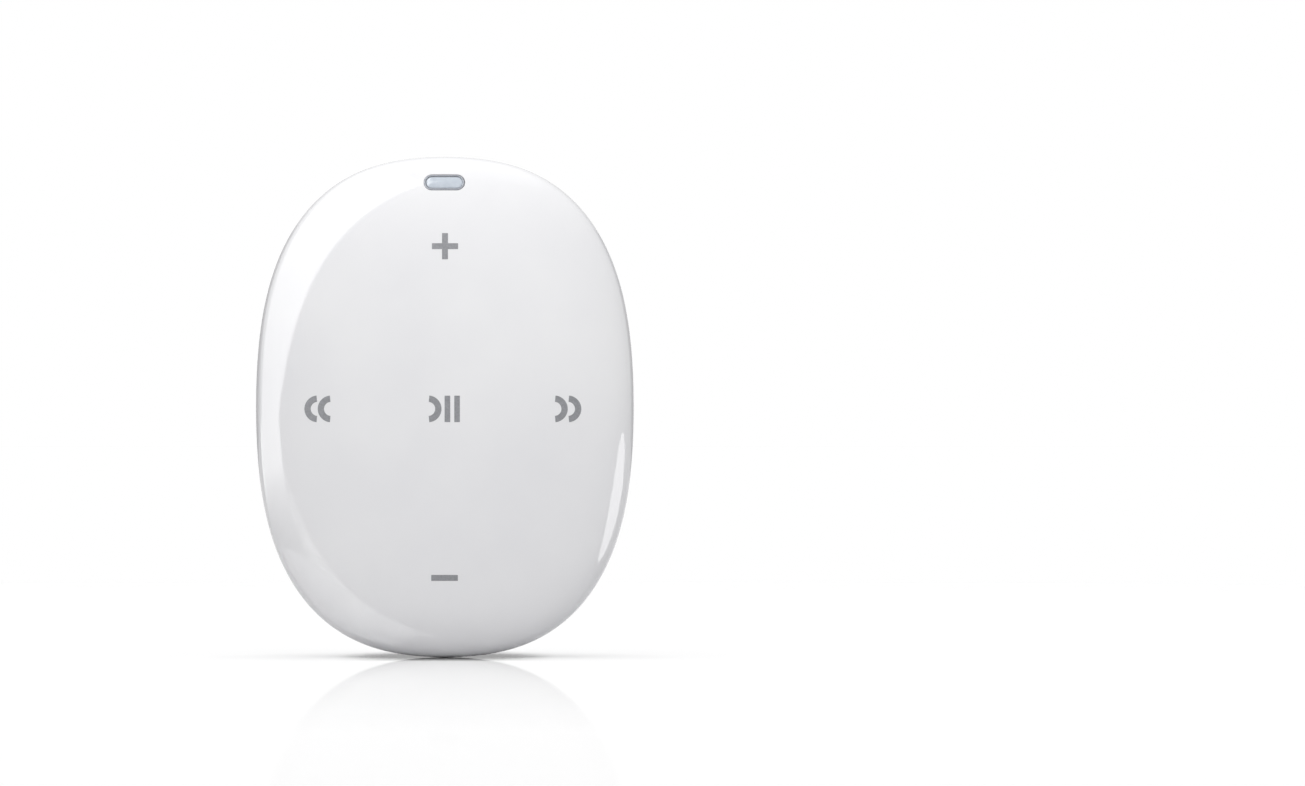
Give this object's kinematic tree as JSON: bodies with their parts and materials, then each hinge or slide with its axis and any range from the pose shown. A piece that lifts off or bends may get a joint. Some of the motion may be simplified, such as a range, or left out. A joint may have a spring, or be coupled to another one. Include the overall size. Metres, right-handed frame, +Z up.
{
  "type": "digital audio player",
  "caption": "Clip-on digital audio player: pebble-shaped body with a floating front cover as its control, slide switches, a headphone socket and a sprung clip on the back.",
  "frame": {"origin": "middle of the flat on the back cover, under the clip, where the edge of a pocket or belt is gripped", "axes": "+X to the right seen from the front, +Y out of the back through the clip, -Y the front, +Z up to the headphone socket"},
  "size_m": [0.042, 0.0173, 0.0556],
  "materials": {
    "shell_white": "moulded gloss white plastic",
    "knob_white": "moulded white plastic, half gloss",
    "clip_satin": "satin pale grey plastic",
    "lens_blue": "clear pale blue light guide",
    "bezel_grey": "moulded grey plastic",
    "frame_grey": "moulded pale grey plastic",
    "board_green": "green solder mask",
    "chip_black": "moulded black package",
    "cell_foil": "foil pouch",
    "foam_grey": "dark grey foam pad",
    "steel": "bright stamped or drawn steel",
    "collar_metal": "bright plated collar",
    "socket_black": "moulded black plastic",
    "silicone": "translucent grey silicone",
    "switch_grey": "moulded grey actuator",
    "led_white": "white light package"
  },
  "bodies": {
    "housing": {"back_cover": "shell_white", "mid_frame": "frame_grey", "main_board": "board_green", "board_screw_1": "steel", "board_screw_2": "steel", "board_screw_3": "steel", "board_screw_4": "steel", "battery": "cell_foil", "battery_foam": "foam_grey", "processor_chip": "chip_black", "memory_chip": "chip_black", "amplifier_chip": "chip_black", "led_chip": "led_white", "dome_film": "steel", "headphone_jack": "socket_black", "jack_collar": "collar_metal", "power_switch": "chip_black", "mode_switch": "chip_black", "hold_switch": "chip_black", "reset_switch": "chip_black", "hinge_pin": "steel", "clip_spring": "steel"},
    "press_carrier": {"key_mat": "silicone"},
    "tilt_carrier": {"spring_plate": "steel"},
    "cover": {"front_cover": "shell_white", "led_bezel": "bezel_grey", "led_lens": "lens_blue"},
    "power_slider": {"power_knob": "knob_white", "power_lever": "switch_grey"},
    "mode_slider": {"mode_knob": "knob_white", "mode_lever": "switch_grey"},
    "hold_slider": {"hold_knob": "knob_white", "hold_lever": "switch_grey"},
    "reset_button": {"reset_plunger": "switch_grey"},
    "clip": {"clip_lever": "clip_satin", "clip_plate": "clip_satin"}
  },
  "joints": [
    {"name": "cover_press", "type": "slide", "parent": "housing", "child": "press_carrier", "axis": [0, 1, 0], "range_m": [0, 0.0002], "stiffness_N_per_m": 8000},
    {"name": "cover_tilt_volume", "type": "hinge", "parent": "press_carrier", "child": "tilt_carrier", "pos_m": [0, -0.00979, 0], "axis": [1, 0, 0], "range_deg": [-0.3, 0.3], "stiffness_Nm_per_rad": 5},
    {"name": "cover_tilt_track", "type": "hinge", "parent": "tilt_carrier", "child": "cover", "pos_m": [0, -0.00979, 0], "axis": [0, 0, 1], "range_deg": [-0.4, 0.4], "stiffness_Nm_per_rad": 3.2},
    {"name": "power_slide", "type": "slide", "parent": "housing", "child": "power_slider", "axis": [0.001, 0, 1], "range_m": [0, 0.0038]},
    {"name": "mode_slide", "type": "slide", "parent": "housing", "child": "mode_slider", "axis": [0.1607, 0, 0.987], "range_m": [0, 0.0019]},
    {"name": "hold_slide", "type": "slide", "parent": "housing", "child": "hold_slider", "axis": [-0.136, 0, 0.9907], "range_m": [0, 0.0019]},
    {"name": "reset_press", "type": "slide", "parent": "housing", "child": "reset_button", "axis": [0, 0, 1], "range_m": [0, 0.0002], "stiffness_N_per_m": 7500},
    {"name": "clip_hinge", "type": "hinge", "parent": "housing", "child": "clip", "pos_m": [0, 0.0014, 0.0095], "axis": [1, 0, 0], "range_deg": [0, 12], "stiffness_Nm_per_rad": 0.15, "springref_deg": -17.19, "deforming": ["clip_spring"]}
  ]
}
